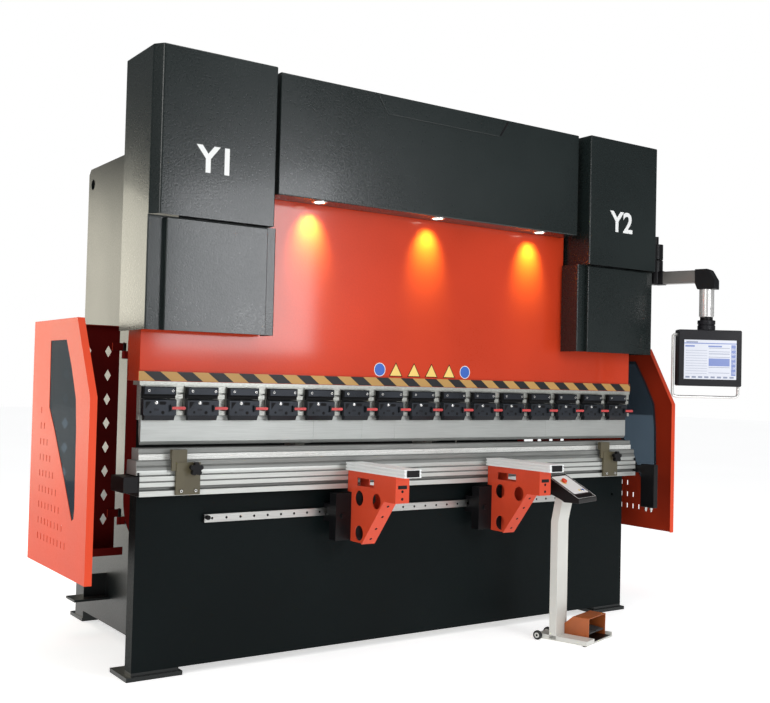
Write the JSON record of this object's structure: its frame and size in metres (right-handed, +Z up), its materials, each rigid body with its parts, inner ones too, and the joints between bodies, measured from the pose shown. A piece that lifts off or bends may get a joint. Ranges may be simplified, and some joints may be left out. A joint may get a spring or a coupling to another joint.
{
  "type": "press brake",
  "caption": "Hydraulic sheet-metal press brake with covered cylinders, quick tool clamps, sheet supports, back gauge, swinging guards, pendant and foot pedestal.",
  "frame": {"origin": "centre of the four floor anchor holes, on the floor", "axes": "+X to the operator's right along the bend line, +Y from the operator to the back, +Z up"},
  "size_m": [3.9248, 2.076, 2.876],
  "materials": {
    "frame_paint": "satin",
    "guard_orange": "satin",
    "ground_aluminium": "brushed",
    "tool_steel": "ground",
    "rail_steel": "ground",
    "olive_paint": "satin",
    "ram_orange": "gloss",
    "bright_steel": "machined",
    "black_oxide": "satin",
    "cylinder_steel": "satin",
    "chrome_rod": "polished",
    "tank_paint": "satin",
    "cabinet_paint": "satin",
    "cover_paint": "gloss",
    "window_acrylic": "clear",
    "bracket_orange": "satin",
    "extrusion": "anodised",
    "black_casting": "satin",
    "arm_aluminium": "anodised",
    "panel_plastic": "matte",
    "pedestal_cream": "satin",
    "wheel_rubber": "matte",
    "console_black": "matte",
    "stop_red": "gloss",
    "foot_orange": "satin",
    "pedal_grey": "matte",
    "lever_red": "satin"
  },
  "bodies": {
    "root": {"side_frame_left": "frame_paint", "side_frame_right": "frame_paint", "foot_plates": "frame_paint", "bed": "frame_paint", "crossbeams": "frame_paint", "rear_guard": "frame_paint", "crowning_table": "ground_aluminium", "die_rail": "ground_aluminium", "die": "tool_steel", "linear_rail": "rail_steel", "end_stops": "olive_paint", "cylinders": "cylinder_steel", "hydraulic_unit": "tank_paint", "electric_cabinet": "cabinet_paint", "upper_cover_left": "cover_paint", "upper_cover_right": "cover_paint", "lower_cover_left": "cover_paint", "lower_cover_right": "cover_paint", "beam_cover": "cover_paint", "gauge_rails": "rail_steel", "pendant_mount": "black_casting"},
    "ram": {"ram": "ram_orange", "tool_adapters": "bright_steel", "clamp_plates": "black_oxide", "punches": "tool_steel", "piston_rods": "chrome_rod"},
    "guard_left": {"side_guard_left": "guard_orange", "guard_window_left": "window_acrylic"},
    "guard_right": {"side_guard_right": "guard_orange", "guard_window_right": "window_acrylic"},
    "support_left": {"support_bracket_left": "bracket_orange", "support_beam_left": "extrusion"},
    "support_right": {"support_bracket_right": "bracket_orange", "support_beam_right": "extrusion"},
    "back_gauge": {"gauge_beam": "extrusion", "gauge_fingers": "bright_steel"},
    "pendant_arm": {"pendant_arm": "arm_aluminium"},
    "control_panel": {"control_panel": "panel_plastic"},
    "pedestal": {"pedestal_stand": "pedestal_cream", "pedestal_console": "console_black", "foot_guard": "foot_orange"},
    "pedestal_wheels": {"pedestal_wheels": "wheel_rubber"},
    "emergency_button": {"emergency_button": "stop_red"},
    "foot_pedal_left": {"foot_pedal_left": "pedal_grey"},
    "foot_pedal_right": {"foot_pedal_right": "pedal_grey"},
    "clamp_lever_01": {"clamp_lever_01": "lever_red"},
    "clamp_lever_02": {"clamp_lever_02": "lever_red"},
    "clamp_lever_03": {"clamp_lever_03": "lever_red"},
    "clamp_lever_04": {"clamp_lever_04": "lever_red"},
    "clamp_lever_05": {"clamp_lever_05": "lever_red"},
    "clamp_lever_06": {"clamp_lever_06": "lever_red"},
    "clamp_lever_07": {"clamp_lever_07": "lever_red"},
    "clamp_lever_08": {"clamp_lever_08": "lever_red"},
    "clamp_lever_09": {"clamp_lever_09": "lever_red"},
    "clamp_lever_10": {"clamp_lever_10": "lever_red"},
    "clamp_lever_11": {"clamp_lever_11": "lever_red"},
    "clamp_lever_12": {"clamp_lever_12": "lever_red"},
    "clamp_lever_13": {"clamp_lever_13": "lever_red"},
    "clamp_lever_14": {"clamp_lever_14": "lever_red"},
    "clamp_lever_15": {"clamp_lever_15": "lever_red"}
  },
  "joints": [
    {"name": "ram_slide", "type": "slide", "parent": "root", "child": "ram", "axis": [0, 0, 1], "range_m": [0, 0.2]},
    {"name": "guard_hinge_left", "type": "hinge", "parent": "root", "child": "guard_left", "pos_m": [-1.43, -0.115, 1], "axis": [0, 0, 1], "range_deg": [-90, 0]},
    {"name": "guard_hinge_right", "type": "hinge", "parent": "root", "child": "guard_right", "pos_m": [1.43, -0.115, 1], "axis": [0, 0, 1], "range_deg": [0, 90]},
    {"name": "support_slide_left", "type": "slide", "parent": "root", "child": "support_left", "axis": [1, 0, 0], "range_m": [-0.6, 0.5]},
    {"name": "support_slide_right", "type": "slide", "parent": "root", "child": "support_right", "axis": [1, 0, 0], "range_m": [-0.55, 0.05]},
    {"name": "gauge_slide", "type": "slide", "parent": "root", "child": "back_gauge", "axis": [0, 1, 0], "range_m": [-0.15, 0.45]},
    {"name": "pendant_swing", "type": "hinge", "parent": "root", "child": "pendant_arm", "pos_m": [1.735, -0.91, 2.15], "axis": [0, 0, 1], "range_deg": [-40, 60]},
    {"name": "panel_swivel", "type": "hinge", "parent": "pendant_arm", "child": "control_panel", "pos_m": [1.841, -1.225, 1.8], "axis": [0, 0, 1], "range_deg": [-60, 60]},
    {"name": "pedestal_move", "type": "slide", "parent": "root", "child": "pedestal", "axis": [0.309, -0.9511, 0], "range_m": [0, 0.4]},
    {"name": "wheel_spin", "type": "hinge", "parent": "pedestal", "child": "pedestal_wheels", "pos_m": [0.64956, -1.09339, 0.025], "axis": [0.9511, 0.309, 0], "continuous": true},
    {"name": "stop_press", "type": "slide", "parent": "pedestal", "child": "emergency_button", "axis": [-0.1532, 0.4714, -0.8685], "range_m": [0, 0.005], "stiffness_N_per_m": 1500, "springref_m": -0.005},
    {"name": "pedal_press_left", "type": "hinge", "parent": "pedestal", "child": "foot_pedal_left", "pos_m": [0.78527, -1.17126, 0.06], "axis": [0.9511, 0.309, 0], "range_deg": [0, 8], "stiffness_Nm_per_rad": 60, "springref_deg": -5.73},
    {"name": "pedal_press_right", "type": "hinge", "parent": "pedestal", "child": "foot_pedal_right", "pos_m": [0.87467, -1.14221, 0.06], "axis": [0.9511, 0.309, 0], "range_deg": [0, 8], "stiffness_Nm_per_rad": 60, "springref_deg": -5.73},
    {"name": "lever_turn_01", "type": "hinge", "parent": "ram", "child": "clamp_lever_01", "pos_m": [-1.474, -0.85325, 1.247], "axis": [0, 0, 1], "range_deg": [-90, 0]},
    {"name": "lever_turn_02", "type": "hinge", "parent": "ram", "child": "clamp_lever_02", "pos_m": [-1.2587, -0.85325, 1.247], "axis": [0, 0, 1], "range_deg": [-90, 0]},
    {"name": "lever_turn_03", "type": "hinge", "parent": "ram", "child": "clamp_lever_03", "pos_m": [-1.0434, -0.85325, 1.247], "axis": [0, 0, 1], "range_deg": [-90, 0]},
    {"name": "lever_turn_04", "type": "hinge", "parent": "ram", "child": "clamp_lever_04", "pos_m": [-0.8281, -0.85325, 1.247], "axis": [0, 0, 1], "range_deg": [-90, 0]},
    {"name": "lever_turn_05", "type": "hinge", "parent": "ram", "child": "clamp_lever_05", "pos_m": [-0.6128, -0.85325, 1.247], "axis": [0, 0, 1], "range_deg": [-90, 0]},
    {"name": "lever_turn_06", "type": "hinge", "parent": "ram", "child": "clamp_lever_06", "pos_m": [-0.3975, -0.85325, 1.247], "axis": [0, 0, 1], "range_deg": [-90, 0]},
    {"name": "lever_turn_07", "type": "hinge", "parent": "ram", "child": "clamp_lever_07", "pos_m": [-0.1822, -0.85325, 1.247], "axis": [0, 0, 1], "range_deg": [-90, 0]},
    {"name": "lever_turn_08", "type": "hinge", "parent": "ram", "child": "clamp_lever_08", "pos_m": [0.0331, -0.85325, 1.247], "axis": [0, 0, 1], "range_deg": [-90, 0]},
    {"name": "lever_turn_09", "type": "hinge", "parent": "ram", "child": "clamp_lever_09", "pos_m": [0.2484, -0.85325, 1.247], "axis": [0, 0, 1], "range_deg": [-90, 0]},
    {"name": "lever_turn_10", "type": "hinge", "parent": "ram", "child": "clamp_lever_10", "pos_m": [0.4637, -0.85325, 1.247], "axis": [0, 0, 1], "range_deg": [-90, 0]},
    {"name": "lever_turn_11", "type": "hinge", "parent": "ram", "child": "clamp_lever_11", "pos_m": [0.679, -0.85325, 1.247], "axis": [0, 0, 1], "range_deg": [-90, 0]},
    {"name": "lever_turn_12", "type": "hinge", "parent": "ram", "child": "clamp_lever_12", "pos_m": [0.8943, -0.85325, 1.247], "axis": [0, 0, 1], "range_deg": [-90, 0]},
    {"name": "lever_turn_13", "type": "hinge", "parent": "ram", "child": "clamp_lever_13", "pos_m": [1.1096, -0.85325, 1.247], "axis": [0, 0, 1], "range_deg": [-90, 0]},
    {"name": "lever_turn_14", "type": "hinge", "parent": "ram", "child": "clamp_lever_14", "pos_m": [1.3249, -0.85325, 1.247], "axis": [0, 0, 1], "range_deg": [-90, 0]},
    {"name": "lever_turn_15", "type": "hinge", "parent": "ram", "child": "clamp_lever_15", "pos_m": [1.5402, -0.85325, 1.247], "axis": [0, 0, 1], "range_deg": [-90, 0]}
  ]
}
